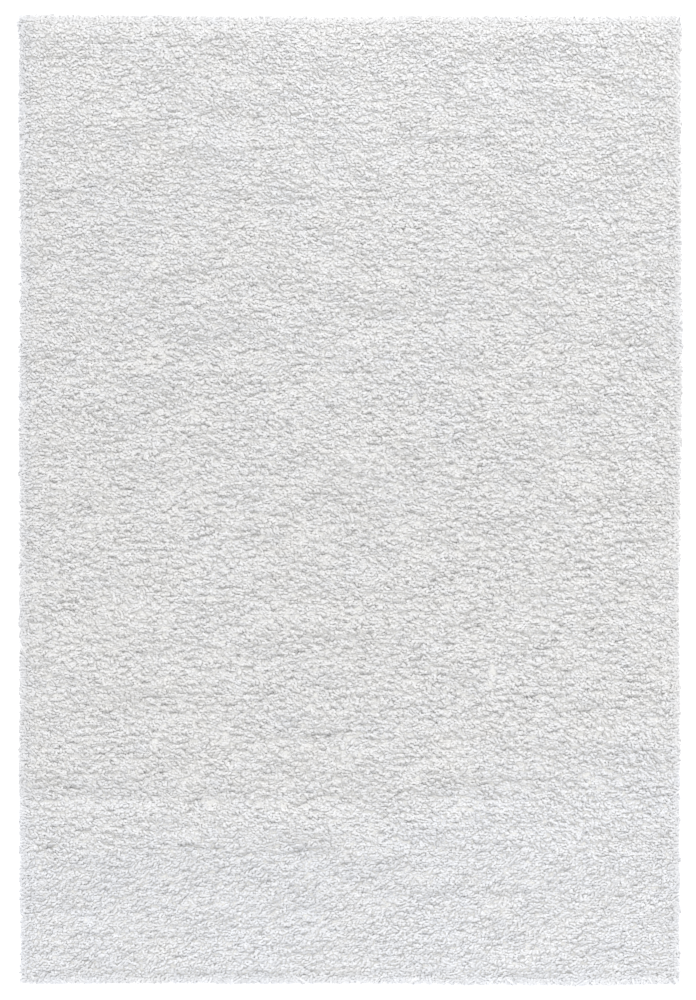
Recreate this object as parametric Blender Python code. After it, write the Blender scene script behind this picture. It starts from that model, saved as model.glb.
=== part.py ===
"""A white shag rug lying flat on the floor, 1.60 m wide and 2.34 m long.

It is one piece of cloth, so it is one solid: a pile matted into a lumpy slab, with locks of yarn standing
out all round its rim. The underside is flat, at z = 0, and the origin is at its middle. +X runs across the
rug, +Y runs along it and +Z is up. Every size is in metres.
"""

import random

import bmesh
import bpy
from mathutils import Vector, noise

# Size over the tips of the locks.
WIDTH = 1.600
LENGTH = 2.340

# Height of the pile over the floor, in the middle and where it rolls over at the rim.
PILE_HEIGHT = 0.028
RIM_HEIGHT = 0.019

# The pile is matted into lumps, longer across the rug than along it, on broader swells.
# name: (length across, length along, swing of the height)
LUMPS = {
    "lump": (0.105, 0.068, 0.0110),
    "swell": (0.520, 0.260, 0.0050),
}

# Long shallow partings that cross the pile, where it has been brushed open.
# (middle x, middle y, half length, half width, depth, slope)
CREASES = (
    (-0.03, -0.57, 0.20, 0.022, 0.0050, 0.03),
    (-0.26, -0.85, 0.22, 0.022, 0.0045, 0.00),
    (-0.20, -0.73, 0.42, 0.030, 0.0040, -0.04),
    (0.68, 0.38, 0.12, 0.020, 0.0040, -0.10),
    (-0.20, 1.02, 0.12, 0.020, 0.0035, -0.05),
)

# How far each edge stands out of the straight, at even steps along it: the sides from the far end to the
# near one, and the ends from left to right.
EDGE_WAVE = {
    "left": (0.001, 0.001, -0.001, -0.002, -0.001, 0.001, 0.0, -0.001, -0.001, 0.0, 0.0, -0.001, -0.004),
    "right": (0.003, 0.002, 0.003, 0.003, 0.006, 0.004, 0.001, -0.002, -0.001, 0.0, -0.001, -0.001, -0.001),
    "far": (0.003, 0.001, 0.0, -0.001, -0.002, 0.0, -0.001, -0.001, 0.0),
    "near": (-0.001, -0.002, -0.002, -0.001, -0.002, 0.0, 0.002, 0.004, -0.001),
}
CORNER_PULL = 0.010  # how far each corner is drawn in, along both edges
CORNER_SPAN = 0.045  # how far from a corner that starts

# The slab's net of faces: a narrow band of cells along the rim and even cells inside it. The rim itself is
# cut into steps, wide ones that carry a lock and narrow ones between two locks, in turn.
RIM_CELL = 0.022
CELLS_ACROSS = 36
CELLS_ALONG = 66
RIM_STEP = 0.0145
LOCK_SHARE = 0.60  # how much of two steps the wide one takes

# The wall under the rim, ring by ring: (share of the rim's height, how far it stands out)
WALL = (
    (0.50, 0.0030),
    (0.00, -0.0010),
)

# Locks of yarn that grow out of every wide step of the wall, from its upper and its lower band in turn.
LOCK_REACH = (0.007, 0.013)
LOCK_BEND = 0.55  # where along its reach a lock bends
LOCK_TAPER = 0.75  # its width there, as a share of its root
LOCK_DROOP = 0.80  # its height there, as a share of its root's
LOCK_TIP_DROOP = 0.40  # the height of its tip, as a share of its root's
LOCK_SKEW = 0.008  # the most that its tip leans along the rim
SEED = 7

YARN_WHITE = (0.80, 0.80, 0.79, 1.0)
YARN_ROUGHNESS = 0.95

LOCK_REACH_MOST = LOCK_REACH[1]
WALL_BULGE = max(out for _, out in WALL)
HALF_WIDTH = WIDTH / 2 - LOCK_REACH_MOST - WALL_BULGE
HALF_LENGTH = LENGTH / 2 - LOCK_REACH_MOST - WALL_BULGE


def smooth_step(t):
    """0 below 0, 1 above 1, and an even rise between them."""
    t = min(max(t, 0.0), 1.0)
    return t * t * (3.0 - 2.0 * t)


def stations(half, cells):
    """Places of the net's lines from -half to half: a rim cell, even cells, and a rim cell."""
    inner = half - RIM_CELL
    even = [-inner + 2.0 * inner * i / cells for i in range(cells + 1)]
    return [-half] + even + [half]


def edge_wave(edge, along):
    """How far an edge stands out at a share of the way along it, from 0 to 1."""
    values = EDGE_WAVE[edge]
    place = along * (len(values) - 1)
    first = min(int(place), len(values) - 2)
    part = smooth_step(place - first)
    return values[first] * (1.0 - part) + values[first + 1] * part


def plan(x, y):
    """A point of the straight rectangle, moved to where the rug's uneven outline has it."""
    from_far = (HALF_LENGTH - y) / (2.0 * HALF_LENGTH)
    from_left = (HALF_WIDTH + x) / (2.0 * HALF_WIDTH)
    side = "right" if x > 0.0 else "left"
    end = "far" if y > 0.0 else "near"
    near_side = (abs(x) / HALF_WIDTH) ** 8
    near_end = (abs(y) / HALF_LENGTH) ** 8
    out_x = edge_wave(side, from_far) * near_side
    out_y = edge_wave(end, from_left) * near_end
    to_corner_x = smooth_step((abs(x) - HALF_WIDTH + CORNER_SPAN) / CORNER_SPAN)
    to_corner_y = smooth_step((abs(y) - HALF_LENGTH + CORNER_SPAN) / CORNER_SPAN)
    pull = CORNER_PULL * to_corner_x * to_corner_y
    sign_x = 1.0 if x > 0.0 else -1.0
    sign_y = 1.0 if y > 0.0 else -1.0
    return x + sign_x * (out_x - pull), y + sign_y * (out_y - pull)


def crease_depth(x, y):
    """How far the partings lower the pile at a point."""
    depth = 0.0
    for middle_x, middle_y, half_length, half_width, deep, slope in CREASES:
        across = (y - middle_y - slope * (x - middle_x)) / half_width
        along = abs(x - middle_x) / half_length
        depth += deep * smooth_step(1.0 - across * across) * smooth_step(2.0 - 1.5 * along)
    return depth


def pile_height(x, y):
    """The height of the lumpy pile at a point, leaving out the roll-over at the rim."""
    height = PILE_HEIGHT
    for number, (across, along, crest) in enumerate(LUMPS.values()):
        height += crest * noise.noise(Vector((x / across, y / along, 3.7 * number)))
    return height - crease_depth(x, y)


def new_net(bm):
    """The top of the slab as a flat net of quads, its rim cut into short steps."""
    across = stations(HALF_WIDTH, CELLS_ACROSS)
    along = stations(HALF_LENGTH, CELLS_ALONG)
    rows = [[bm.verts.new((x, y, 0.0)) for x in across] for y in along]
    for near, far in zip(rows, rows[1:]):
        for left in range(len(across) - 1):
            bm.faces.new((near[left], near[left + 1], far[left + 1], far[left]))
    by_cuts = {}
    for edge in bm.edges:
        if edge.is_boundary:
            by_cuts.setdefault(round(edge.calc_length() / RIM_STEP) - 1, []).append(edge)
    for cuts, edges in sorted(by_cuts.items()):
        if cuts > 0:
            bmesh.ops.subdivide_edges(bm, edges=edges, cuts=cuts)


def next_on_rim(vert):
    """The rim's vertex after this one, anticlockwise seen from above."""
    for edge in vert.link_edges:
        if edge.is_boundary and edge.link_loops[0].vert == vert:
            return edge.other_vert(vert)
    raise ValueError("the vertex isn't on the rim")


def rim_in_order(bm):
    """The vertices round the rim, anticlockwise seen from above, from the near left corner."""
    start = min((v for v in bm.verts if v.is_boundary), key=lambda v: v.co.x + v.co.y)
    rim = [start]
    following = next_on_rim(start)
    while following != start:
        rim.append(following)
        following = next_on_rim(following)
    return rim


def widen_lock_steps(rim):
    """Slides every second vertex along the rim. Each side has an even number of steps, so corners stay."""
    for i in range(1, len(rim), 2):
        before = rim[i - 1].co
        after = rim[(i + 1) % len(rim)].co
        rim[i].co = before.lerp(after, LOCK_SHARE)


def outward(points):
    """The level direction out of the rug at each point of a closed line round it."""
    found = []
    for before, after in zip(points[-1:] + points[:-1], points[1:] + points[:1]):
        run = after - before
        found.append(Vector((run.y, -run.x, 0.0)).normalized())
    return found


def shape_top(bm, rim):
    """Moves the net onto the rug's outline and gives it the pile's height."""
    on_rim = set(rim)
    for vert in bm.verts:
        x, y = plan(vert.co.x, vert.co.y)
        lumpy = pile_height(x, y)
        vert.co = (x, y, lumpy - PILE_HEIGHT + RIM_HEIGHT if vert in on_rim else lumpy)


def build_wall(bm, rim):
    """The side of the slab below the rim, ring by ring, and the flat underside. Returns the bands of faces."""
    out = outward([vert.co.copy() for vert in rim])
    bands = []
    above = rim
    for share, stand_out in WALL:
        ring = []
        for top, away in zip(rim, out):
            place = top.co + away * stand_out
            ring.append(bm.verts.new((place.x, place.y, top.co.z * share)))
        band = []
        for i, vert in enumerate(ring):
            after = (i + 1) % len(ring)
            band.append(bm.faces.new((above[i], vert, ring[after], above[after])))
        bands.append(band)
        above = ring
    bm.faces.new(reversed(above))
    return bands, out


def grow_lock(bm, face, away, draw):
    """Turns a face of the wall into a lock of four sides that bends, droops and comes to a tip."""
    reach = draw.uniform(*LOCK_REACH)
    skew = away.cross(Vector((0.0, 0.0, 1.0))) * draw.uniform(-LOCK_SKEW, LOCK_SKEW)
    bent = bmesh.ops.extrude_discrete_faces(bm, faces=[face])["faces"][0]
    root = bent.calc_center_median()
    for vert in bent.verts:
        level = root + (vert.co - root) * LOCK_TAPER + (away * reach + skew) * LOCK_BEND
        vert.co = (level.x, level.y, vert.co.z * LOCK_DROOP)
    tip = bmesh.ops.poke(bm, faces=[bent])["verts"][0]
    end = root + away * reach + skew
    tip.co = (end.x, end.y, root.z * LOCK_TIP_DROOP)


def grow_locks(bm, bands, out):
    """Locks from the upper and the lower band in turn, on every wide step of the rim."""
    draw = random.Random(SEED)
    for step in range(0, len(out) - 1, 2):
        band = bands[(step // 2) % len(bands)]
        away = (out[step] + out[(step + 1) % len(out)]).normalized()
        grow_lock(bm, band[step], away, draw)


def fit_to_size(bm):
    """Centres the rug over the origin at its stated width and length, tip to tip."""
    xs = [vert.co.x for vert in bm.verts]
    ys = [vert.co.y for vert in bm.verts]
    middle = Vector(((min(xs) + max(xs)) / 2.0, (min(ys) + max(ys)) / 2.0, 0.0))
    scale = (WIDTH / (max(xs) - min(xs)), LENGTH / (max(ys) - min(ys)), 1.0)
    bmesh.ops.translate(bm, vec=-middle, verts=bm.verts)
    bmesh.ops.scale(bm, vec=scale, verts=bm.verts)


def yarn_material():
    material = bpy.data.materials.new("white_yarn")
    material.use_nodes = True
    shader = material.node_tree.nodes["Principled BSDF"]
    shader.inputs["Base Color"].default_value = YARN_WHITE
    shader.inputs["Roughness"].default_value = YARN_ROUGHNESS
    shader.inputs["Metallic"].default_value = 0.0
    return material


def build_rug():
    bm = bmesh.new()
    new_net(bm)
    rim = rim_in_order(bm)
    widen_lock_steps(rim)
    shape_top(bm, rim)
    bands, out = build_wall(bm, rim)
    grow_locks(bm, bands, out)
    fit_to_size(bm)
    bmesh.ops.triangulate(bm, faces=bm.faces)
    bmesh.ops.recalc_face_normals(bm, faces=bm.faces)
    mesh = bpy.data.meshes.new("shag_rug")
    bm.to_mesh(mesh)
    bm.free()
    mesh.materials.append(yarn_material())
    rug = bpy.data.objects.new("shag_rug", mesh)
    bpy.context.scene.collection.objects.link(rug)


def main():
    for old in list(bpy.data.objects):
        bpy.data.objects.remove(old)
    build_rug()


main()
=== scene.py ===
"""A white shag rug spread on a pale floor and seen from straight above.

A woven ground cloth carries a deep pile. The pile is many thick yarns that rise out of a matted bed, lean
over together in small locks and end in blunt tips. Sizes are in metres, angles in degrees. +X runs across the
rug, +Y along it, and +Z is up. The near end is the one at -Y.
"""

import math

import bpy
import numpy as np
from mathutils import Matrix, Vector
from mathutils.bvhtree import BVHTree
from mathutils.kdtree import KDTree


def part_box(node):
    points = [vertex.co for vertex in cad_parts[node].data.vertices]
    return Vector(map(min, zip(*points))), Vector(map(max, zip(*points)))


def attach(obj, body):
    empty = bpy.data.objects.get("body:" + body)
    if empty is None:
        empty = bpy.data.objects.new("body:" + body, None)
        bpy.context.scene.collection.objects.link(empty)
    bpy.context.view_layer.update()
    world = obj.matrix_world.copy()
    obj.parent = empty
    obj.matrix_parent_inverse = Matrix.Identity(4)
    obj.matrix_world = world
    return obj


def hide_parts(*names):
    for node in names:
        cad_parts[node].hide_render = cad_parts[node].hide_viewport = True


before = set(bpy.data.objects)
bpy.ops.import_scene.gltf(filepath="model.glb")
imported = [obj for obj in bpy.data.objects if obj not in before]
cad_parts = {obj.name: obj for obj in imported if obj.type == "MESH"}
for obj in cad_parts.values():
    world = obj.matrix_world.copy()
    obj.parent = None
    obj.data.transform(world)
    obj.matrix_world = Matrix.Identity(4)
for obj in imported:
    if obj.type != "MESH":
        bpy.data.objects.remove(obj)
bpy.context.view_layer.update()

# The picture: how far it spans, and where the rug's middle lies in it.
PICTURE_WIDTH_PX = 696
PICTURE_HEIGHT_PX = 1000
METRES_PER_PX = 0.00242
RUG_MIDDLE_PX = (350.6, 500.80)
PICTURE_LEVEL = 0.02  # the height in the pile at which a pixel is that wide
LENS_MM = 85.0
SENSOR_MM = 36.0

# Light.
SKY_STRENGTH = 1.040
KEY_STRENGTH = 1.04
KEY_FROM = (0.05, 1.0, 0.95)  # a broad even light from past the rug's far end
KEY_SPREAD = 55.0
FLOOR_SIDE = 14.0
FLOOR_WHITE = (0.95, 0.95, 0.95)
FLOOR_ROUGHNESS = 0.8
FLOOR_GLOW = 0.55
PURE_WHITE = (1.0, 1.0, 1.0, 1.0)

# The slab that the pile fills, as a grid of heights.
HEIGHT_CELL = 0.005
RELIEF_CELL = 0.004
FOOT_LEVEL = -0.99  # a face of the slab's foot looks down at least this straight
FOOT_FACE_AREA = 2.0e-4  # and is larger than this
FOOT_MARGIN = 0.003  # how far inside the foot's edge the height of the rim is read
WAVE_POWER = 8  # how soon the waves of the edges die away inwards
SPREAD = 0.0200  # how far the pile spreads past the slab's foot at its sides
END_SPREAD = 0.0217  # and at its two ends
SKIRT = 0.0245  # how far past the foot the pile's surface comes down to the floor
CORNER_NEAR = 0.055  # the last stretch of a side, which belongs to the rounded corner
CORNER_PULL = 0.001
CORNER_REACH = 0.025
CORNER_DRAW_IN = 0.016  # how far inside a corner the height over it is read

# Ground cloth and bed.
CLOTH_THICK = 0.0022
CLOTH_LIFT = 0.0003
CLOTH_INSET = 0.004
CLOTH_CELLS = (24, 36)
BED_LIFT = 0.0003  # how far the bed's underside lies over the cloth
BED_LEAST = 0.002  # how thick the bed is at the least
BED_BELOW = 0.0030  # how far the bed lies under the pile's surface
BED_INSET = -0.013  # it reaches past the foot
BED_CELLS = (176, 256)
BED_SINK = 0.8  # the share of the pile's hollows by which the bed sinks under them

# Locks of yarn, in staggered wavy rows. The pile sinks along the creases between them.
LOCK_ACROSS = 0.0380
LOCK_ALONG = 0.0185
LOCK_JITTER = 0.34
ROW_WAVE = 0.0040
LOCK_TURN = 8.0  # spread of the locks' directions
LOCK_FAN = 10.0  # how far the yarns at a lock's sides turn out
LOCK_LIFT = 0.0006  # spread of the locks' heights
LOCK_TINT = 0.1  # spread of their whiteness
LOCK_TILT = 0.06  # how steeply a lock rises towards its tips
CREASE_DEPTH = 0.0038
SIDE_CREASE = 0.15  # depth of the creases at a lock's two ends, as a share
CREASE_FROM = 0.35  # where a lock begins to sink, as a share of the way to its edge
CREASE_BREAK = 0.35  # how unevenly deep a crease is along its way
FLIPPED = 0.30  # share of the locks that lean the other way

# The rim, where the pile is thin.
RIM_CALM = 0.8  # how far the locks' relief evens out there
RIM_CALM_WIDTH = 0.035
SLOPE_CALM_WIDTH = 0.085  # from how far inside the edge the yarns' shading evens out

# Yarns, spread evenly over the plan.
YARN_ACROSS = 0.0069
YARN_ALONG = 0.0054
YARN_JITTER = 0.45
YARN_TURN = 26.0  # spread of the yarns' directions in a lock
YARN_LIFT = 0.0006
OVERHANG = (-0.004, 0.004)  # how far a yarn's tip may stand out past the pile's edge
END_FRAY = 1.3  # how much more so at the two ends
TURN_OUT_REACH = 0.034
TURN_OUT = 0.8
PIECES = 5

# One yarn: from a root in the bed to a bend, and on to a blunt tip.
YARN_RADIUS = 0.0029
YARN_RADIUS_SHARES = (0.85, 1.15)
YARN_CROWN = 0.20  # how high its sides lie over its middle, as a share of the radius
YARN_THICKNESS = 0.60
TIP_WIDTH = 0.80
LOWEST = 0.0004
YARN_ROLL = 18.0  # how far a yarn is turned on itself, to either side
YARN_RUN = (0.0045, 0.0090)  # from its bend to its tip
TIP_AHEAD = 0.6  # the share of its run that lies ahead of its place
FUZZ = 0.51  # how far a yarn is shaded like the pile's own surface round it
SLOPE_STEP = 0.004
STEEPEST = 1.0
ROOT_RUN = 0.005
ROOT_DEPTH = 0.0030
BEND_DEPTH = 0.0006
TIP_DEPTH = 0.0010

# Yarns that hang over the rim, layer by layer from the top. Distances are counted outwards from the slab's
# foot, and heights are shares of the rim's height.
RIM_STEP = 0.0040
RIM_LAYERS = (
    # root out, root height, bend out, bend height, tip out from, tip out to, tip height
    (-0.004, 0.62, 0.006, 0.74, 0.013, 0.021, 0.45),
    (-0.004, 0.38, 0.005, 0.50, 0.012, 0.021, 0.25),
    (-0.004, 0.15, 0.004, 0.24, 0.011, 0.019, 0.06),
)
END_RAGGED = 0.002  # how much further the tips may reach at the two ends
RIM_LIFT = 0.06  # spread of their heights, as a share of the rim's
RIM_TURN = 34.0
RIM_TURN_MOST = 58.0
RIM_STOP = 0.012  # how far before the end of a side its yarns stop
RIM_CORNER = 0.030
RIM_CORNER_TURN = 32.0
RIM_CORNER_CALM = 0.6  # how much less the yarns' directions spread at a corner

# Loose yarns that stick out at two corners.
TUFTS = (
    # x and y where a tuft leaves the rim, direction, reach
    (-0.792, 1.157, 176.0, 0.024),
    (-0.790, -1.160, 200.0, 0.016),
)
TUFT_YARNS = 4
TUFT_SPREAD = 0.0012
TUFT_TURN = 9.0
TUFT_SHORTEST = 0.6  # the share of a tuft's reach that its shortest yarn has
TUFT_WAY = (
    # share of the reach, height: at the root, the bend and the tip
    (0.0, 0.009),
    (0.45, 0.008),
    (1.0, 0.004),
)

# Small hollows between the yarns' tips, longer along the lay than across it.
DENT_DEPTHS = (
    # y, depth
    (-0.95, 0.0030),
    (-0.50, 0.0050),
    (0.05, 0.0046),
    (1.00, 0.0024),
)
DENT_APART = 0.0100
DENT_STEPS = (
    # step across the lay, weight: hollows on both sides of a place raise it
    (0.0, 1.0),
    (-DENT_APART, -0.5),
    (DENT_APART, -0.5),
)
DENT_SPREAD = 2.0  # the weighted noise at which a hollow is deepest

# Directions in which the pile leans.
FIELD_LAY = -12.0
END_LAY = 197.0
END_TURN = 6.0  # how much the near end's direction changes for each metre across the rug
LAY_WANDER = 4.0
END_LAY_FROM = -0.80
END_LAY_TO = -0.90
END_LAY_WANDER = 0.02  # how far the border between the two directions sways

# Wavy partings in the pile, which show as thin dark lines.
FURROWS = (
    # from x, to x, middle y, sway, depth
    (-0.25, -0.15, 1.016, 0.004, 0.007),
    (0.60, 0.79, 0.380, 0.005, 0.007),
    (-0.21, 0.20, -0.574, 0.005, 0.007),
    (-0.42, 0.42, -0.722, 0.006, 0.006),
    (-0.79, -0.67, -0.790, 0.004, 0.007),
    (-0.79, -0.61, -0.838, 0.004, 0.008),
    (-0.44, -0.06, -0.846, 0.005, 0.008),
    (-0.78, -0.71, -0.905, 0.003, 0.008),
)
FURROW_WIDTH = 0.0055
FURROW_END = 0.05
FURROW_OPEN = 0.6  # how far open a parting is
FURROW_BREAK = 0.6  # and how much that comes and goes

# Whiteness of the yarns over the plan, in steps that are added to each yarn's own. Part of it is painted
# light and shade: at the ends, their rims and a low ridge, and the paler roots at the rim.
TONE_SPREAD = 0.72  # from yarn to yarn
TONE_SLOW = 0.2
FAR_END_PAINTED_LIGHT = 1.5  # painted light: how much whiter the yarns are at the far end
NEAR_END_PAINTED_LIGHT = 1.9  # and at the near end, also painted light
TONE_FROM = 0.48  # how far from the rug's middle that begins
FAR_RIM_PAINTED_SHADE = -2.6  # and how much whiter they are at the thin rim of each end: painted shade at the far rim, which faces the key light, and painted light at the near rim, which faces away from it
NEAR_RIM_PAINTED_LIGHT = 2.8
TONE_RIM_WIDTH = 0.030
TONE_ACROSS = 0.9  # how much whiter they are at the right than half way across
TONE_MIDDLE = 0.3  # how much duller they are in the middle
MIDDLE_Y = -0.15
MIDDLE_REACH = 0.85
TONE_NEAR = 0.7  # how much duller they are in the zone at the near end
TONE_SIDE = 1.5  # how much duller the two sides are
TONE_SIDE_WIDTH = 0.10
RIDGE_PAINTED_SHADE = 1.8
RIDGE_Y = -0.714  # painted light and shade of a low ridge in the pile, bright on its near side and dull on its far side
RIDGE_WIDTH = 0.045
RIDGE_FADE = 0.4  # how much it fades to the right
PALE_END = 0.85  # painted light: how far the yarns' roots are as bright as their tips, at the thin rim of the two ends
PALE_SIDE = 0.6  # and of the sides
PALE_WIDTH = 0.034
PALE_NEAR = 0.25  # and in the zone at the near end
# painted sheen: where the near end's cool white, the pile seen against its lean, begins and ends
COOL_FROM = -0.66
COOL_TO = -0.90
COOL_SKEW = 0.30  # how much further from the end the cool white begins for each metre to the right
COOL_SIDE = 0.9
COOL_SIDE_WIDTH = 0.055
COOL_PATCHES = 0.11
COOL_GRAINS = 0.20
COOL_MIDDLE = 0.28  # how much warmer the middle is

# Uneven things over the plan: the size of a cell of noise across and along the rug, and a seed of its own.
SEED = 11
FIELD_LAY_NOISE = (0.16, 0.06, SEED + 1)
END_LAY_NOISE = (0.12, 0.08, SEED + 2)
END_LAY_BORDER_NOISE = (0.1, 1.0, SEED + 3)
TONE_NOISE = (0.42, 0.30, SEED + 4)
COOL_GRAIN_NOISE = (0.030, 0.020, SEED + 5)
ROW_NOISE = (0.09, 0.05, SEED + 6)
CREASE_NOISE = (0.009, 0.009, SEED + 8)
COOL_PATCH_NOISE = (0.12, 0.09, SEED + 9)
FURROW_SWAY_CELL = 0.07
FURROW_SWAY_SEED = SEED + 20
FURROW_BREAK_NOISE = (0.025, 0.025, SEED + 40)
DENT_NOISE = (0.0125, 0.0062, SEED + 50)
NOISE_SIDE = 512  # how many cells the noise goes on for before it repeats
NOISE_SPREAD = 1.6  # of the random values, which makes the noise between them spread by about 1

# Looks of the yarn, the bed and the ground cloth.
WHITE = (0.86, 0.86, 0.86)
DULL_WHITE = (0.757, 0.755, 0.757)
CLEAR_WHITE = (0.970, 0.968, 0.970)
TINT_RANGE = (-2.5, 5.0)  # from dull to clear
ROOT_SHADE = (0.15, 0.95)  # the stretch of a yarn over which it brightens from its painted root shade to its tip
# painted shade deep in the pile: a duller, warmer white at a yarn's root
ROOT_PAINTED_SHADE = (0.644, 0.632, 0.616)
WARM_CAST = (1.001, 0.997, 0.990)
COOL_CAST = (0.967, 0.987, 1.032)
COOL_RANGE = (-1.0, 1.5)  # from warm to cool
GLOSS = 0.2
YARN_ROUGHNESS = 0.9
YARN_SHEEN = 0.25
TWIST_ALONG = 26.0  # how far its plies wind from root to tip, in radians
TWIST_ACROSS = 2.2  # and from its middle to a side
FIBRE_GRAIN = 0.0012
PLY_DEPTH = 0.0004
PLY_STRENGTH = 0.35
# The bed's whites are partly painted shade: duller and warmer than the yarns', as deep in the pile. Their
# mottle is the matting's own.
BED_SHADED_WHITE = (0.76, 0.75, 0.73)
BED_SHADED_DARK = (0.70, 0.69, 0.66)
BED_SHADED_PALE = (0.84, 0.84, 0.83)
BED_ROUGHNESS = 0.95
BED_SHEEN = 0.2
MAT_GRAIN = 0.006
MAT_DETAIL = 4.0
MAT_DEPTH = 0.002
MAT_STRENGTH = 0.8
CLOTH_WHITE = (0.75, 0.73, 0.68)
CLOTH_DARK = (0.66, 0.63, 0.57)
CLOTH_PALE = (0.80, 0.78, 0.73)
CLOTH_ROUGHNESS = 0.9
WEAVE_PITCH = 0.006
WEAVE_DEPTH = 0.0005
WEAVE_STRENGTH = 0.7

HAIR = 0.001  # the share of a cell by which places are kept inside a grid's last points
TINY = 1.0e-9  # keeps a division from failing


def smooth_step(t):
    """0 up to 0, 1 from 1 on, and a smooth rise between."""
    t = np.clip(t, 0.0, 1.0)
    return t * t * (3.0 - 2.0 * t)


def fading(distance, width):
    """1 where a distance is 0, falling smoothly to 0 over a width."""
    return smooth_step(1.0 - distance / width)


def turned(x, y, degrees):
    """Places of the plan counted along and across a direction."""
    a = math.radians(degrees)
    return x * math.cos(a) + y * math.sin(a), y * math.cos(a) - x * math.sin(a)


def unit(v):
    """Vectors brought to a length of 1."""
    return v / np.maximum(np.linalg.norm(v, axis=-1, keepdims=True), TINY)


def between(values, i, j, next_i, next_j, s, t):
    """Values between four neighbours on a grid, s of the way from i to next_i and t from j to next_j."""
    near = values[j, i] * (1.0 - s) + values[j, next_i] * s
    far = values[next_j, i] * (1.0 - s) + values[next_j, next_i] * s
    return near * (1.0 - t) + far * t


def soft_noise(x, y, cell_x, cell_y, seed):
    """Smooth noise with a spread of about 1 at points of the plan, from a grid of random values."""
    lattice = np.random.default_rng(seed).normal(0.0, NOISE_SPREAD, (NOISE_SIDE, NOISE_SIDE))
    i = np.floor(x / cell_x).astype(int)
    j = np.floor(y / cell_y).astype(int)
    s = smooth_step(x / cell_x - i)
    t = smooth_step(y / cell_y - j)
    return between(lattice, i % NOISE_SIDE, j % NOISE_SIDE, (i + 1) % NOISE_SIDE, (j + 1) % NOISE_SIDE, s, t)


class PlanGrid:
    """Numbers on an even grid over the rug's plan, read between the grid's points."""

    def __init__(self, low, high, cell):
        self.cell = cell
        self.xs = np.arange(low.x, high.x + cell, cell)
        self.ys = np.arange(low.y, high.y + cell, cell)
        self.values = np.zeros((len(self.ys), len(self.xs)))

    def read(self, x, y):
        u = np.clip((x - self.xs[0]) / self.cell, 0.0, len(self.xs) - 1 - HAIR)
        v = np.clip((y - self.ys[0]) / self.cell, 0.0, len(self.ys) - 1 - HAIR)
        i = u.astype(int)
        j = v.astype(int)
        return between(self.values, i, j, i + 1, j + 1, u - i, v - j)


class Slab:
    """The solid that the pile fills: its outline on the floor and its height at any point of the plan."""

    def __init__(self, node):
        mesh = node.data
        self.low, self.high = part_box(node.name)
        corners = [vert.co.copy() for vert in mesh.vertices]
        tree = BVHTree.FromPolygons(corners, [tuple(face.vertices) for face in mesh.polygons])
        self.read_foot(mesh)
        self.read_heights(tree)

    def read_foot(self, mesh):
        """The corners of the slab's big level faces on the floor, as a line for each of its four sides."""
        foot = set()
        for face in mesh.polygons:
            if face.normal.z < FOOT_LEVEL and face.area > FOOT_FACE_AREA:
                foot.update(face.vertices)
        points = np.array([mesh.vertices[i].co[:2] for i in sorted(foot)])
        x, y = points[:, 0], points[:, 1]
        self.foot_x = (x.max() - x.min()) / 2.0
        self.foot_y = (y.max() - y.min()) / 2.0
        self.half_x = self.foot_x + SPREAD
        self.half_y = self.foot_y + END_SPREAD
        self.sides = {}
        for name, along, out, length, half in (("left", y, -x, self.foot_y, self.foot_x),
                                               ("right", y, x, self.foot_y, self.foot_x),
                                               ("near", x, -y, self.foot_x, self.foot_y),
                                               ("far", x, y, self.foot_x, self.foot_y)):
            on_side = (out > half - CORNER_NEAR) & (np.abs(along) < length - CORNER_NEAR)
            order = np.argsort(along[on_side])
            self.sides[name] = (along[on_side][order], out[on_side][order] - half)

    def read_heights(self, tree):
        """Looks down at the slab on an even grid."""
        self.heights = PlanGrid(self.low, self.high, HEIGHT_CELL)
        top = self.high.z + 1.0
        down = Vector((0.0, 0.0, -1.0))
        for j, y in enumerate(self.heights.ys):
            for i, x in enumerate(self.heights.xs):
                hit = tree.ray_cast(Vector((x, y, top)), down)[0]
                self.heights.values[j, i] = hit.z if hit else 0.0

    def wave(self, x, y):
        """How far a point of the straight rectangle moves to lie on the rug's uneven plan."""
        by_side = np.clip(np.abs(x) / self.half_x, 0.0, 1.0) ** WAVE_POWER
        by_end = np.clip(np.abs(y) / self.half_y, 0.0, 1.0) ** WAVE_POWER
        left = np.interp(y, *self.sides["left"])
        right = np.interp(y, *self.sides["right"])
        near = np.interp(x, *self.sides["near"])
        far = np.interp(x, *self.sides["far"])
        to_corner = np.hypot(self.half_x - np.abs(x), self.half_y - np.abs(y))
        pull = CORNER_PULL * fading(to_corner, CORNER_REACH)
        wave_x = np.where(x > 0.0, right, -left) * by_side - np.sign(x) * pull
        wave_y = np.where(y > 0.0, far, -near) * by_end - np.sign(y) * pull
        return wave_x, wave_y

    def rim_share(self, x, y, width):
        """1 at the pile's edge, falling to 0 over a width inwards."""
        to_rim = np.minimum(self.half_x - np.abs(x), self.half_y - np.abs(y))
        return fading(to_rim, width)

    def outside(self, x, y):
        """How far a point of the plan lies outside the straight rectangle of the foot."""
        return np.hypot(np.maximum(np.abs(x) - self.foot_x, 0.0), np.maximum(np.abs(y) - self.foot_y, 0.0))

    def surface(self, x, y):
        """The pile's surface over the straight rectangle, coming down to the floor past its edge."""
        inside_x = np.clip(x, -self.foot_x + FOOT_MARGIN, self.foot_x - FOOT_MARGIN)
        inside_y = np.clip(y, -self.foot_y + FOOT_MARGIN, self.foot_y - FOOT_MARGIN)
        wave_x, wave_y = self.wave(inside_x, inside_y)
        to_corner = np.hypot(self.foot_x - np.abs(inside_x), self.foot_y - np.abs(inside_y))
        draw_in = CORNER_DRAW_IN * fading(to_corner, CORNER_NEAR)
        read_x = inside_x + wave_x - np.sign(x) * draw_in
        read_y = inside_y + wave_y - np.sign(y) * draw_in
        top = self.heights.read(read_x, read_y)
        fall = np.clip(self.outside(x, y) / SKIRT, 0.0, 1.0)
        return top * np.sqrt(1.0 - fall)


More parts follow.
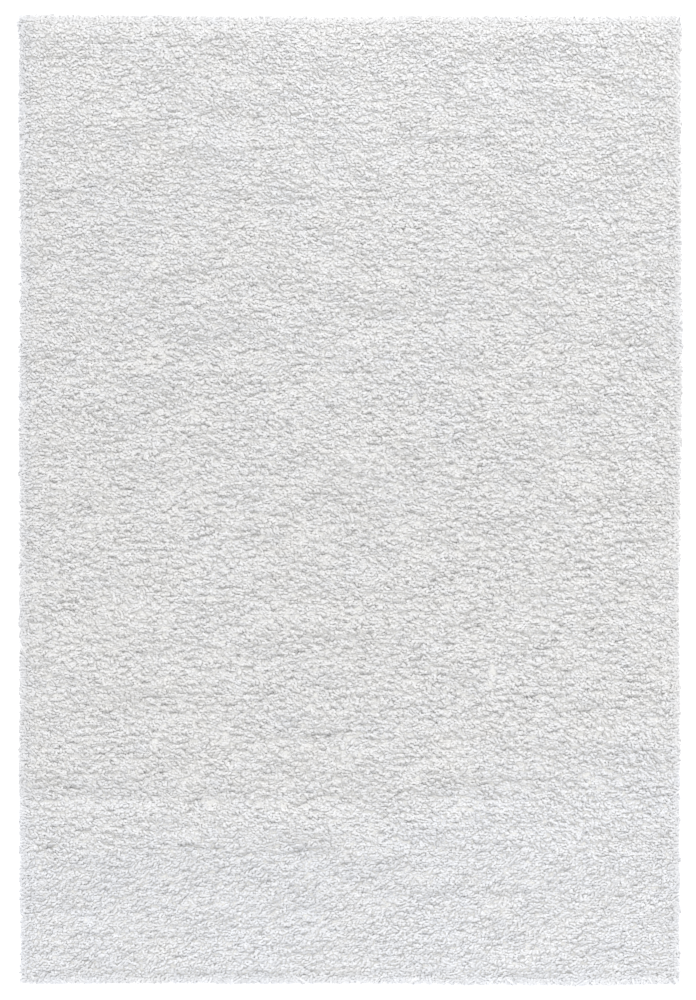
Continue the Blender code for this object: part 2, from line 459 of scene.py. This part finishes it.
def near_end(y):
    """1 in the zone at the near end where the pile leans another way, and 0 in the field."""
    return smooth_step((END_LAY_FROM - y) / (END_LAY_FROM - END_LAY_TO))


def middle(y):
    """1 in the middle of the rug, falling to 0 towards its two ends."""
    return fading(np.abs(y - MIDDLE_Y), MIDDLE_REACH)


def lay(x, y, draw):
    """The direction in which the pile leans, anticlockwise from +X, in the field or at the near end."""
    field = FIELD_LAY + LAY_WANDER * soft_noise(x, y, *FIELD_LAY_NOISE)
    end = END_LAY - END_TURN * x + LAY_WANDER * soft_noise(x, y, *END_LAY_NOISE)
    share = near_end(y + END_LAY_WANDER * soft_noise(x, y, *END_LAY_BORDER_NOISE))
    return np.where(draw.uniform(0.0, 1.0, len(x)) < share, end, field)


def furrows(x, y):
    """How deep the pile is parted at points of the plan."""
    sink = np.zeros_like(x)
    for number, (start, end, middle_y, sway, depth) in enumerate(FURROWS):
        swaying = soft_noise(x, 0.0 * x, FURROW_SWAY_CELL, FURROW_SWAY_CELL, FURROW_SWAY_SEED + number)
        line = middle_y + sway * swaying
        ends = smooth_step((x - start) / FURROW_END) * smooth_step((end - x) / FURROW_END)
        open_here = smooth_step(FURROW_OPEN + FURROW_BREAK * soft_noise(x, y, *FURROW_BREAK_NOISE))
        sink = sink + depth * ends * open_here * fading(np.abs(y - line), FURROW_WIDTH)
    return sink


def dents(x, y):
    """How deep the small hollows between the yarns' tips are at points of the plan."""
    here = np.zeros_like(x)
    for degrees, share in ((FIELD_LAY, 1.0 - near_end(y)), (END_LAY - 180.0, near_end(y))):
        along, across = turned(x, y, degrees)
        for step, weight in DENT_STEPS:
            here = here + share * weight * soft_noise(along, across + step, *DENT_NOISE)
    return np.interp(y, *zip(*DENT_DEPTHS)) * smooth_step(here / DENT_SPREAD)


def tone_with_painted_light(slab, x, y):
    """The slow change of the yarn's whiteness over the rug, as a number to add to its tint. Its whiter ends,
    brighter near rim, duller far rim and the ridge's bright and dull sides are painted light and shade.
    """
    slow = TONE_SLOW * soft_noise(x, y, *TONE_NOISE)
    # Painted light at the two ends, and painted light and shade at their thin rims.
    end_painted_light = np.where(y > 0.0, FAR_END_PAINTED_LIGHT, NEAR_END_PAINTED_LIGHT)
    ends = end_painted_light * smooth_step((np.abs(y) - TONE_FROM) / (slab.half_y - TONE_FROM))
    rim_painted_light = np.where(y > 0.0, FAR_RIM_PAINTED_SHADE, NEAR_RIM_PAINTED_LIGHT)
    rim = rim_painted_light * fading(slab.half_y - np.abs(y), TONE_RIM_WIDTH)
    side = -TONE_SIDE * fading(slab.half_x - np.abs(x), TONE_SIDE_WIDTH)
    # Painted light and shade on the near and far sides of a low ridge.
    past = (y - RIDGE_Y) / RIDGE_WIDTH
    ridge = -RIDGE_PAINTED_SHADE * (1.0 - RIDGE_FADE * x / slab.half_x) * past * np.exp(-past * past)
    zones = TONE_ACROSS * x / slab.half_x - TONE_MIDDLE * middle(y) - TONE_NEAR * near_end(y)
    return slow + ends + rim + side + ridge + zones


def painted_root_light(slab, x, y):
    """Painted light: how far a yarn's root is as bright as its tip, from 0 to 1: at the rim, where light
    comes through.
    """
    end = PALE_END * fading(slab.half_y - np.abs(y), PALE_WIDTH)
    side = PALE_SIDE * fading(slab.half_x - np.abs(x), PALE_WIDTH)
    return np.maximum(np.maximum(end, side), PALE_NEAR * near_end(y))


def coolness(slab, x, y):
    """How far the yarn's white turns from a warm to a cool one: at the near end, as painted sheen of the pile
    seen against its lean, and down the left side.
    """
    # Painted sheen: the near end's cool white.
    end = smooth_step((COOL_FROM + COOL_SKEW * np.maximum(x, 0.0) - y) / (COOL_FROM - COOL_TO))
    side = COOL_SIDE * fading(slab.half_x + x, COOL_SIDE_WIDTH)
    patches = COOL_PATCHES * soft_noise(x, y, *COOL_PATCH_NOISE)
    grains = COOL_GRAINS * soft_noise(x, y, *COOL_GRAIN_NOISE)
    return end + side + patches + grains - COOL_MIDDLE * middle(y)


def staggered(slab, across, along, jitter, draw):
    """Points in staggered rows that fill the plan and a little more, each moved at random."""
    rows = int(2.0 * slab.half_y / along) + 2
    columns = int(2.0 * slab.half_x / across) + 2
    row, column = np.meshgrid(np.arange(rows), np.arange(columns), indexing="ij")
    x = (column - 0.5 * (columns - 1) + 0.5 * (row % 2) - 0.25) * across
    y = (row - 0.5 * (rows - 1)) * along
    x = x + across * jitter * draw.uniform(-1.0, 1.0, x.shape)
    y = y + along * jitter * draw.uniform(-1.0, 1.0, y.shape)
    return x.ravel(), y.ravel()


class Locks:
    """The locks of yarn: each has its middle, the direction in which it leans, its height and its tint."""

    def __init__(self, slab, draw):
        x, y = staggered(slab, LOCK_ACROSS, LOCK_ALONG, LOCK_JITTER, draw)
        y = y + ROW_WAVE * soft_noise(x, y, *ROW_NOISE)
        self.slab = slab
        self.x, self.y = x, y
        turn = lay(x, y, draw) + draw.normal(0.0, LOCK_TURN, len(x))
        self.turn = turn + np.where(draw.uniform(0.0, 1.0, len(x)) < FLIPPED, 180.0, 0.0)
        self.lift = draw.normal(0.0, LOCK_LIFT, len(x))
        self.tint = draw.normal(0.0, 1.0, len(x))
        self.tree = KDTree(len(x))
        for i, place in enumerate(self.squeezed(x, y)):
            self.tree.insert(place, i)
        self.tree.balance()
        self.read_relief()

    def squeezed(self, x, y):
        """Places turned into line with the field's lay and drawn together along it, as a lock is long."""
        along, across = turned(x, y, FIELD_LAY)
        return np.stack((along * LOCK_ALONG / LOCK_ACROSS, across, np.zeros(len(x))), -1)

    def nearest(self, x, y):
        """For each point its lock, the next one, and how far it lies towards their border, from 0 to 1."""
        pairs = np.zeros((len(x), 2), int)
        edge = np.zeros(len(x))
        for k, place in enumerate(self.squeezed(x, y)):
            first, second = self.tree.find_n(place, 2)
            pairs[k] = first[1], second[1]
            edge[k] = first[2] / max(second[2], TINY)
        return pairs[:, 0], pairs[:, 1], edge

    def read_relief(self):
        """Notes on a grid how far the locks stand over or under the slab's surface."""
        self.relief = PlanGrid(self.slab.low, self.slab.high, RELIEF_CELL)
        grid_x, grid_y = np.meshgrid(self.relief.xs, self.relief.ys)
        x, y = grid_x.ravel(), grid_y.ravel()
        own, other, edge = self.nearest(x, y)
        rad = np.radians(self.turn[own])
        ahead = (x - self.x[own]) * np.cos(rad) + (y - self.y[own]) * np.sin(rad)
        rise = self.lift[own] + LOCK_TILT * ahead
        beside = np.abs(self.y[other] - self.y[own]) / LOCK_ALONG
        ended = np.abs(self.x[other] - self.x[own]) / LOCK_ACROSS
        depth = CREASE_DEPTH * (SIDE_CREASE + (1.0 - SIDE_CREASE) * beside / (beside + ended + TINY))
        depth = depth * np.clip(1.0 + CREASE_BREAK * soft_noise(x, y, *CREASE_NOISE), 0.0, 2.0)
        sink = depth * smooth_step((edge - CREASE_FROM) / (1.0 - CREASE_FROM))
        self.relief.values = (rise - sink).reshape(grid_x.shape)

    def raised(self, x, y):
        """How far the pile stands over or under the slab's surface, the less the nearer the rim."""
        calm = 1.0 - RIM_CALM * self.slab.rim_share(x, y, RIM_CALM_WIDTH)
        return calm * (self.relief.read(x, y) - dents(x, y)) - furrows(x, y)


def slope(slab, locks, x, y):
    """How steeply the pile's surface rises across and along the rug. Beyond the foot it is as at its edge."""
    x = np.clip(x, -slab.foot_x + SLOPE_STEP, slab.foot_x - SLOPE_STEP)
    y = np.clip(y, -slab.foot_y + SLOPE_STEP, slab.foot_y - SLOPE_STEP)
    rises = []
    for step_x, step_y in ((SLOPE_STEP, 0.0), (0.0, SLOPE_STEP)):
        after = slab.surface(x + step_x, y + step_y) + locks.raised(x + step_x, y + step_y)
        before = slab.surface(x - step_x, y - step_y) + locks.raised(x - step_x, y - step_y)
        rises.append(np.clip((after - before) / (2.0 * SLOPE_STEP), -STEEPEST, STEEPEST))
    calm = 1.0 - slab.rim_share(x, y, SLOPE_CALM_WIDTH)
    return [rise * calm for rise in rises]


def lean_out(slab, x, y, turn):
    """Turns the directions near the rim outwards, the more the nearer they are."""
    pull_x = np.sign(x) * fading(slab.half_x - np.abs(x), TURN_OUT_REACH) * TURN_OUT
    pull_y = np.sign(y) * fading(slab.half_y - np.abs(y), TURN_OUT_REACH) * TURN_OUT
    rad = np.radians(turn)
    return np.arctan2(np.sin(rad) + pull_y, np.cos(rad) + pull_x)


def beyond(value, limit):
    """How far a number lies outside the range from -limit to +limit."""
    return value - np.clip(value, -limit, limit)


def on_plan(slab, lanes):
    """Points from their places on the straight rectangle and their heights."""
    points = []
    for x, y, z in lanes:
        wave_x, wave_y = slab.wave(x, y)
        z = np.maximum(z, YARN_RADIUS * YARN_THICKNESS)
        points.append(np.stack((x + wave_x, y + wave_y, z), -1))
    return points


def yarn_directions(slab, locks, own, x, y, draw):
    """The direction of each yarn in radians: its lock's, fanned out and spread."""
    rad = np.radians(locks.turn[own])
    aside = (y - locks.y[own]) * np.cos(rad) - (x - locks.x[own]) * np.sin(rad)
    turn = locks.turn[own] + LOCK_FAN * aside / LOCK_ALONG + draw.normal(0.0, YARN_TURN, len(x))
    return lean_out(slab, x, y, turn)


def lay_yarns(slab, locks, draw):
    """Every yarn in the field: its root, bend and tip as three arrays of points, and its looks."""
    x, y = staggered(slab, YARN_ACROSS, YARN_ALONG, YARN_JITTER, draw)
    inside = (np.abs(x) < slab.half_x) & (np.abs(y) < slab.half_y)
    x, y = x[inside], y[inside]
    count = len(x)
    own = locks.nearest(x, y)[0]
    turn = yarn_directions(slab, locks, own, x, y, draw)
    raised = locks.raised(x, y) + draw.normal(0.0, YARN_LIFT, count)
    run = draw.uniform(*YARN_RUN, count)
    reach = draw.uniform(*OVERHANG, count)
    tip = TIP_AHEAD * run
    bend = tip - run
    past_x = beyond(x + tip * np.cos(turn), slab.half_x + reach)
    past_y = beyond(y + tip * np.sin(turn), slab.half_y + END_FRAY * reach)
    lanes = []
    for along, deep in ((bend - ROOT_RUN, ROOT_DEPTH), (bend, BEND_DEPTH), (tip, TIP_DEPTH)):
        lane_x = x + np.cos(turn) * along - past_x
        lane_y = y + np.sin(turn) * along - past_y
        lanes.append((lane_x, lane_y, slab.surface(lane_x, lane_y) - deep + raised))
    looks = {
        "tint": LOCK_TINT * locks.tint[own] + draw.normal(0.0, TONE_SPREAD, count) + tone_with_painted_light(slab, x, y),
        "cool": coolness(slab, x, y),
        "pale": painted_root_light(slab, x, y),
        "slope": np.stack(slope(slab, locks, x, y), -1),
    }
    return on_plan(slab, lanes), looks


def lay_rim_layer(slab, side, layer, draw):
    """One layer of yarns down one side of the rim: x, y and z of their roots, bends and tips."""
    at_end, sign, foot, half_length = side
    root_out, root_high, bend_out, bend_high, tip_from, tip_to, tip_high = layer
    span = half_length - RIM_STOP
    count = int(2.0 * span / RIM_STEP)
    along = (np.arange(count) + draw.uniform(0.0, 1.0, count)) * RIM_STEP - span
    cornering = fading(span - np.abs(along), RIM_CORNER)
    turn = draw.normal(0.0, RIM_TURN, count) * (1.0 - RIM_CORNER_CALM * cornering)
    turn = turn + RIM_CORNER_TURN * np.sign(along) * cornering
    slip = np.tan(np.radians(np.clip(turn, -RIM_TURN_MOST, RIM_TURN_MOST)))
    tip_out = draw.uniform(tip_from, tip_to + at_end * END_RAGGED, count)
    lift = draw.normal(0.0, RIM_LIFT, count)
    lanes = []
    for out, high in ((root_out, root_high), (bend_out, bend_high), (tip_out, tip_high)):
        aside = along + slip * (out - bend_out)
        place = np.zeros(count) + sign * (foot + out)
        x, y = (aside, place) if at_end else (place, aside)
        rim_x = np.clip(x, -slab.foot_x, slab.foot_x)
        rim_y = np.clip(y, -slab.foot_y, slab.foot_y)
        lanes.append((x, y, slab.surface(rim_x, rim_y) * (high + lift)))
    return lanes


def lay_rim_yarns(slab, draw):
    """The yarns that hang over the rim, in the same way as those of the field."""
    sides = (
        # whether it is an end, which way it faces, how far out its foot lies, half its length
        (False, -1, slab.foot_x, slab.half_y),
        (False, 1, slab.foot_x, slab.half_y),
        (True, -1, slab.foot_y, slab.half_x),
        (True, 1, slab.foot_y, slab.half_x),
    )
    layers = [lay_rim_layer(slab, side, layer, draw) for side in sides for layer in RIM_LAYERS]
    lanes = [[np.concatenate(numbers) for numbers in zip(*lane)] for lane in zip(*layers)]
    bend_x, bend_y = lanes[1][:2]
    tip_x, tip_y = lanes[2][:2]
    count = len(bend_x)
    looks = {
        "tint": draw.normal(0.0, TONE_SPREAD, count) + tone_with_painted_light(slab, bend_x, bend_y),
        "cool": coolness(slab, bend_x, bend_y),
        "pale": painted_root_light(slab, tip_x, tip_y),
        "slope": np.zeros((count, 2)),
    }
    return on_plan(slab, lanes), looks


def lay_tufts(slab, draw):
    """The few loose yarns that stick out at the corners, in the same way."""
    rows = np.repeat(np.array(TUFTS), TUFT_YARNS, axis=0)
    count = len(rows)
    turn = np.radians(rows[:, 2] + draw.normal(0.0, TUFT_TURN, count))
    reach = rows[:, 3] * draw.uniform(TUFT_SHORTEST, 1.0, count)
    start_x = rows[:, 0] + draw.normal(0.0, TUFT_SPREAD, count)
    start_y = rows[:, 1] + draw.normal(0.0, TUFT_SPREAD, count)
    points = []
    for share, height in TUFT_WAY:
        x = start_x + np.cos(turn) * reach * share
        y = start_y + np.sin(turn) * reach * share
        points.append(np.stack((x, y, np.full(count, height)), -1))
    looks = {
        "tint": draw.normal(0.0, TONE_SPREAD, count),
        "cool": coolness(slab, start_x, start_y),
        "pale": painted_root_light(slab, start_x, start_y),
        "slope": np.zeros((count, 2)),
    }
    return points, looks


def across_yarn(heading):
    """Unit vectors to the right of a yarn and up from its back."""
    side = unit(np.cross(unit(heading), (0.0, 0.0, 1.0)))
    return side, unit(np.cross(side, heading))


def yarn_corners(points, draw):
    """The six corners of every yarn: its root, three round its bend and two at its blunt tip.

    Two corners at the bend lie at the top and one below, so that the yarn shows a broad back."""
    root, bend, tip = points
    count = len(root)
    roll = np.radians(draw.uniform(-YARN_ROLL, YARN_ROLL, count))[:, None]
    radius = YARN_RADIUS * draw.uniform(*YARN_RADIUS_SHARES, count)[:, None]
    side, over = across_yarn(tip - root)
    rolled_side = np.cos(roll) * side + np.sin(roll) * over
    rolled_over = np.cos(roll) * over - np.sin(roll) * side
    tip_side = across_yarn(tip - bend)[0]
    corners = np.empty((count, 6, 3))
    corners[:, 0] = root
    corners[:, 1] = bend - rolled_over * radius * YARN_THICKNESS
    corners[:, 2] = bend + (rolled_over * YARN_CROWN - rolled_side) * radius
    corners[:, 3] = bend + (rolled_over * YARN_CROWN + rolled_side) * radius
    corners[:, 4] = tip - tip_side * radius * TIP_WIDTH
    corners[:, 5] = tip + tip_side * radius * TIP_WIDTH
    corners[:, :, 2] = np.maximum(corners[:, :, 2], LOWEST)
    return corners


# Where each of those corners lies along the yarn and to its side.
CORNERS_ALONG = (0.0, 0.5, 0.5, 0.5, 1.0, 1.0)
CORNERS_ASIDE = (0.0, 0.0, -1.0, 1.0, -1.0, 1.0)

YARN_FACES = np.array([
    (0, 2, 1), (0, 3, 2), (0, 1, 3),  # from the root to the bend
    (2, 3, 5), (2, 5, 4), (1, 2, 4), (3, 1, 5), (1, 4, 5),  # from the bend to the tip
])

# The same faces unrolled in a cell of 6 by 2, to bake their colours.
UNROLLED = np.array([
    ((1, 0), (2, 1), (0, 1)),
    ((3, 0), (4, 1), (2, 1)),
    ((5, 0), (6, 1), (4, 1)),
    ((2, 1), (4, 1), (4, 2)),
    ((2, 1), (4, 2), (2, 2)),
    ((0, 1), (2, 1), (2, 2)),
    ((4, 1), (6, 1), (4, 2)),
    ((0, 1), (2, 2), (0, 2)),
]) / (6.0, 2.0)
CELL_MARGIN = 0.06


def new_mesh(name, corners, faces):
    """An object whose faces are an array of triangles or a list of any faces."""
    mesh = bpy.data.meshes.new(name)
    sizes = np.array([len(face) for face in faces], np.int32)
    mesh.vertices.add(len(corners))
    mesh.vertices.foreach_set("co", np.asarray(corners, np.float32).ravel())
    mesh.loops.add(int(sizes.sum()))
    mesh.loops.foreach_set("vertex_index", np.concatenate(faces).astype(np.int32))
    mesh.polygons.add(len(sizes))
    mesh.polygons.foreach_set("loop_start", np.concatenate(([0], np.cumsum(sizes)[:-1])).astype(np.int32))
    mesh.update(calc_edges=True)
    mesh.validate()
    piece = bpy.data.objects.new(name, mesh)
    bpy.context.scene.collection.objects.link(piece)
    return piece


def add_number(mesh, name, values):
    """Keeps a number at each corner of a mesh, for its material to read."""
    mesh.attributes.new(name, "FLOAT", "POINT").data.foreach_set("value", np.asarray(values, np.float32))


def soften_normals(mesh, slopes):
    """Turns the normals part of the way to the pile's own, as a fuzzy yarn has no sharply shaded sides."""
    normals = np.empty(len(mesh.vertices) * 3, np.float32)
    mesh.vertices.foreach_get("normal", normals)
    around = unit(np.stack((-slopes[:, 0], -slopes[:, 1], np.ones(len(slopes))), -1))
    blended = normals.reshape(-1, 3) * (1.0 - FUZZ) + around * FUZZ
    mesh.normals_split_custom_set_from_vertices(unit(blended).tolist())


def add_bake_map(mesh, count):
    """Gives each yarn a cell of its own in the map that its colours are baked to."""
    across = math.ceil(math.sqrt(count))
    number = np.arange(count)
    corner = np.stack((number % across, number // across), -1)[:, None, None]
    places = corner + CELL_MARGIN + UNROLLED[None] * (1.0 - 2.0 * CELL_MARGIN)
    mesh.uv_layers.new(name="OFBake").data.foreach_set("uv", (places / across).astype(np.float32).ravel())


def build_yarns(name, points, looks, draw):
    """One joined mesh of yarns."""
    corners = yarn_corners(points, draw)
    count, each = corners.shape[:2]
    faces = (np.arange(count)[:, None, None] * each + YARN_FACES[None]).reshape(-1, 3)
    piece = new_mesh(name, corners.reshape(-1, 3), faces)
    piece.data.shade_smooth()
    soften_normals(piece.data, np.repeat(looks["slope"], each, axis=0))
    add_bake_map(piece.data, count)
    add_number(piece.data, "along", np.tile(CORNERS_ALONG, count))
    add_number(piece.data, "side", np.tile(CORNERS_ASIDE, count))
    for look in ("tint", "cool", "pale"):
        add_number(piece.data, look, np.repeat(looks[look], each))
    return piece


def build_pile(slab, locks, draw):
    """The yarns of the field, shared out evenly among a few pieces, and those of the rim."""
    points, looks = lay_yarns(slab, locks, draw)
    pieces = []
    for number in range(PIECES):
        mine = [lane[number::PIECES] for lane in points]
        my_looks = {name: values[number::PIECES] for name, values in looks.items()}
        pieces.append(build_yarns("pile_yarns_%d" % (number + 1), mine, my_looks, draw))
    pieces.append(build_yarns("rim_yarns", *lay_rim_yarns(slab, draw), draw))
    pieces.append(build_yarns("corner_tufts", *lay_tufts(slab, draw), draw))
    return pieces


def foot_grid(slab, cells, inset):
    """An even grid over the foot's plan, drawn in from its edge."""
    x = np.linspace(-slab.foot_x + inset, slab.foot_x - inset, cells[0] + 1)
    y = np.linspace(-slab.foot_y + inset, slab.foot_y - inset, cells[1] + 1)
    return np.meshgrid(x, y)


def closed_sheet(name, upper, floor):
    """A closed body between a grid of points and its own shadow on a level below."""
    ny, nx = upper.shape[:2]
    index = np.arange(nx * ny).reshape(ny, nx)
    top = np.stack((index[:-1, :-1], index[:-1, 1:], index[1:, 1:], index[1:, :-1]), -1).reshape(-1, 4)
    rim = np.concatenate((index[0, :-1], index[:-1, -1], index[-1, :0:-1], index[:0:-1, 0]))
    foot = upper.reshape(-1, 3)[rim]
    foot[:, 2] = floor
    below = nx * ny + np.arange(len(rim))
    wall = np.stack((rim, below, np.roll(below, -1), np.roll(rim, -1)), -1)
    corners = np.concatenate((upper.reshape(-1, 3), foot))
    return new_mesh(name, corners, [*top.tolist(), *wall.tolist(), below[::-1].tolist()])


def build_ground_cloth(slab):
    """The thin cloth under the pile, whose edges follow those of the foot."""
    x, y = foot_grid(slab, CLOTH_CELLS, CLOTH_INSET)
    wave_x, wave_y = slab.wave(x, y)
    top = np.stack((x + wave_x, y + wave_y, np.full_like(x, CLOTH_LIFT + CLOTH_THICK)), -1)
    return closed_sheet("ground_cloth", top, CLOTH_LIFT)


def build_bed(slab, locks):
    """The matted lower pile, which closes the gaps between the yarns."""
    x, y = foot_grid(slab, BED_CELLS, BED_INSET)
    wave_x, wave_y = slab.wave(x, y)
    floor = CLOTH_LIFT + CLOTH_THICK + BED_LIFT
    sunk = np.minimum(BED_SINK * locks.raised(x, y), 0.0)
    z = np.maximum(slab.surface(x, y) + sunk - BED_BELOW, floor + BED_LEAST)
    return closed_sheet("pile_bed", np.stack((x + wave_x, y + wave_y, z), -1), floor)


class Material:
    """A material whose nodes are added one after the other."""

    def __init__(self, name, color, roughness, sheen=0.0):
        self.material = bpy.data.materials.new(name)
        self.material.use_nodes = True
        self.nodes = self.material.node_tree.nodes
        self.shader = self.nodes["Principled BSDF"]
        self.shader.inputs["Base Color"].default_value = (*color, 1.0)
        self.shader.inputs["Roughness"].default_value = roughness
        self.shader.inputs["Specular IOR Level"].default_value = GLOSS
        self.shader.inputs["Sheen Weight"].default_value = sheen

    def link(self, source, target):
        self.material.node_tree.links.new(source, target)

    def color(self, source):
        """Takes the material's colour from a socket."""
        self.link(source, self.shader.inputs["Base Color"])

    def number(self, name):
        """A number that the mesh keeps at its corners."""
        node = self.nodes.new("ShaderNodeAttribute")
        node.attribute_name = name
        return node.outputs["Fac"]

    def spread(self, value, low, high):
        """A number brought from the range low to high to the range 0 to 1."""
        node = self.nodes.new("ShaderNodeMapRange")
        node.inputs["From Min"].default_value = low
        node.inputs["From Max"].default_value = high
        self.link(value, node.inputs["Value"])
        return node.outputs["Result"]

    def blend(self, factor, first, second, way="MIX"):
        """A mix of two colours, each a socket or three numbers, by a socket or a number."""
        node = self.nodes.new("ShaderNodeMix")
        node.data_type = "RGBA"
        node.blend_type = way
        if isinstance(factor, float):
            node.inputs["Factor"].default_value = factor
        else:
            self.link(factor, node.inputs["Factor"])
        for name, color in (("A", first), ("B", second)):
            if isinstance(color, tuple):
                node.inputs[name].default_value = (*color, 1.0)
            else:
                self.link(color, node.inputs[name])
        return node.outputs["Result"]

    def combine(self, operation, first, second=0.0):
        """The result of a sum on sockets or numbers. The second doesn't count for a sine."""
        node = self.nodes.new("ShaderNodeMath")
        node.operation = operation
        for socket, value in zip(node.inputs, (first, second)):
            if isinstance(value, float):
                socket.default_value = value
            else:
                self.link(value, socket)
        return node.outputs[0]

    def place(self):
        """The place on the object."""
        return self.nodes.new("ShaderNodeTexCoord").outputs["Object"]

    def noise(self, cell, detail=2.0):
        """Noise whose grains are about one cell wide."""
        node = self.nodes.new("ShaderNodeTexNoise")
        node.inputs["Scale"].default_value = 1.0 / cell
        node.inputs["Detail"].default_value = detail
        self.link(self.place(), node.inputs["Vector"])
        return node.outputs["Fac"]

    def bump(self, height, depth, strength):
        """Shades the surface as if it had a fine relief."""
        node = self.nodes.new("ShaderNodeBump")
        node.inputs["Distance"].default_value = depth
        node.inputs["Strength"].default_value = strength
        self.link(height, node.inputs["Height"])
        self.link(node.outputs["Normal"], self.shader.inputs["Normal"])


def yarn_material():
    """Thick white yarn: each has its own white, darker and warmer down at its root in painted shade, and
    shows its plies.
    """
    yarn = Material("white_yarn", WHITE, YARN_ROUGHNESS, YARN_SHEEN)
    white = yarn.blend(yarn.spread(yarn.number("tint"), *TINT_RANGE), DULL_WHITE, CLEAR_WHITE)
    # Painted shade darkens each yarn towards its root, except where painted light at the rim lifts it.
    lit = yarn.combine("MAXIMUM", yarn.spread(yarn.number("along"), *ROOT_SHADE), yarn.number("pale"))
    root_shaded = yarn.blend(lit, ROOT_PAINTED_SHADE, white)
    cast = yarn.blend(yarn.spread(yarn.number("cool"), *COOL_RANGE), WARM_CAST, COOL_CAST)
    yarn.color(yarn.blend(1.0, root_shaded, cast, "MULTIPLY"))
    twist = yarn.combine("ADD", yarn.combine("MULTIPLY", yarn.number("along"), TWIST_ALONG),
                         yarn.combine("MULTIPLY", yarn.number("side"), TWIST_ACROSS))
    plies = yarn.combine("SINE", twist)
    yarn.bump(yarn.combine("ADD", plies, yarn.noise(FIBRE_GRAIN)), PLY_DEPTH, PLY_STRENGTH)
    return yarn.material


def bed_material():
    """The lower pile, matted, in a duller and warmer white that is painted shade of what lies over it."""
    bed = Material("matted_pile", BED_SHADED_WHITE, BED_ROUGHNESS, BED_SHEEN)
    matted = bed.noise(MAT_GRAIN, MAT_DETAIL)
    bed.color(bed.blend(matted, BED_SHADED_DARK, BED_SHADED_PALE))
    bed.bump(matted, MAT_DEPTH, MAT_STRENGTH)
    return bed.material


def cloth_material():
    """A coarse plain weave of off-white backing yarn."""
    cloth = Material("woven_ground", CLOTH_WHITE, CLOTH_ROUGHNESS)
    split = cloth.nodes.new("ShaderNodeSeparateXYZ")
    cloth.link(cloth.place(), split.inputs["Vector"])
    pace = 2.0 * math.pi / WEAVE_PITCH
    warp = cloth.combine("SINE", cloth.combine("MULTIPLY", split.outputs["X"], pace))
    weft = cloth.combine("SINE", cloth.combine("MULTIPLY", split.outputs["Y"], pace))
    weave = cloth.combine("MULTIPLY", warp, weft)
    cloth.color(cloth.blend(cloth.spread(weave, -1.0, 1.0), CLOTH_DARK, CLOTH_PALE))
    cloth.bump(weave, WEAVE_DEPTH, WEAVE_STRENGTH)
    return cloth.material


def build_floor():
    """A pale floor that glows a little, as an evenly lit white ground does."""
    half = FLOOR_SIDE / 2.0
    corners = np.array([(-half, -half, 0.0), (half, -half, 0.0), (half, half, 0.0), (-half, half, 0.0)])
    floor = new_mesh("studio_floor", corners, np.array([(0, 1, 2, 3)]))
    white = Material("floor_white", FLOOR_WHITE, FLOOR_ROUGHNESS)
    white.shader.inputs["Emission Color"].default_value = PURE_WHITE
    white.shader.inputs["Emission Strength"].default_value = FLOOR_GLOW
    floor.data.materials.append(white.material)


def build_light():
    """An even white sky and a broad key light."""
    world = bpy.data.worlds.new("studio_sky")
    bpy.context.scene.world = world
    world.use_nodes = True
    sky = world.node_tree.nodes["Background"]
    sky.inputs["Color"].default_value = PURE_WHITE
    sky.inputs["Strength"].default_value = SKY_STRENGTH
    key = bpy.data.lights.new("key_light", "SUN")
    key.energy = KEY_STRENGTH
    key.angle = math.radians(KEY_SPREAD)
    lamp = bpy.data.objects.new("key_light", key)
    lamp.rotation_euler = Vector(KEY_FROM).to_track_quat("Z", "Y").to_euler()
    bpy.context.scene.collection.objects.link(lamp)


def build_camera():
    """Looks straight down, from where the picture's height spans its own number of metres."""
    data = bpy.data.cameras.new("camera")
    data.lens = LENS_MM
    data.sensor_width = SENSOR_MM
    span = PICTURE_HEIGHT_PX * METRES_PER_PX
    camera = bpy.data.objects.new("camera", data)
    off_x = (PICTURE_WIDTH_PX / 2.0 - RUG_MIDDLE_PX[0]) * METRES_PER_PX
    off_y = (RUG_MIDDLE_PX[1] - PICTURE_HEIGHT_PX / 2.0) * METRES_PER_PX
    camera.location = (off_x, off_y, PICTURE_LEVEL + span * LENS_MM / SENSOR_MM)
    bpy.context.scene.collection.objects.link(camera)
    bpy.context.scene.camera = camera
    bpy.context.scene.view_settings.view_transform = "Standard"


def dress_rug():
    """Fills the slab with pile, and ties each piece to the frame."""
    slab = Slab(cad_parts["shag_rug"])
    draw = np.random.default_rng(SEED)
    locks = Locks(slab, draw)
    yarns = build_pile(slab, locks, draw)
    bed = build_bed(slab, locks)
    cloth = build_ground_cloth(slab)
    yarn = yarn_material()
    for piece in yarns:
        piece.data.materials.append(yarn)
    bed.data.materials.append(bed_material())
    cloth.data.materials.append(cloth_material())
    for piece in [cloth, bed] + yarns:
        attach(piece, "root")
        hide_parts("shag_rug")


build_camera()
build_light()
build_floor()
dress_rug()
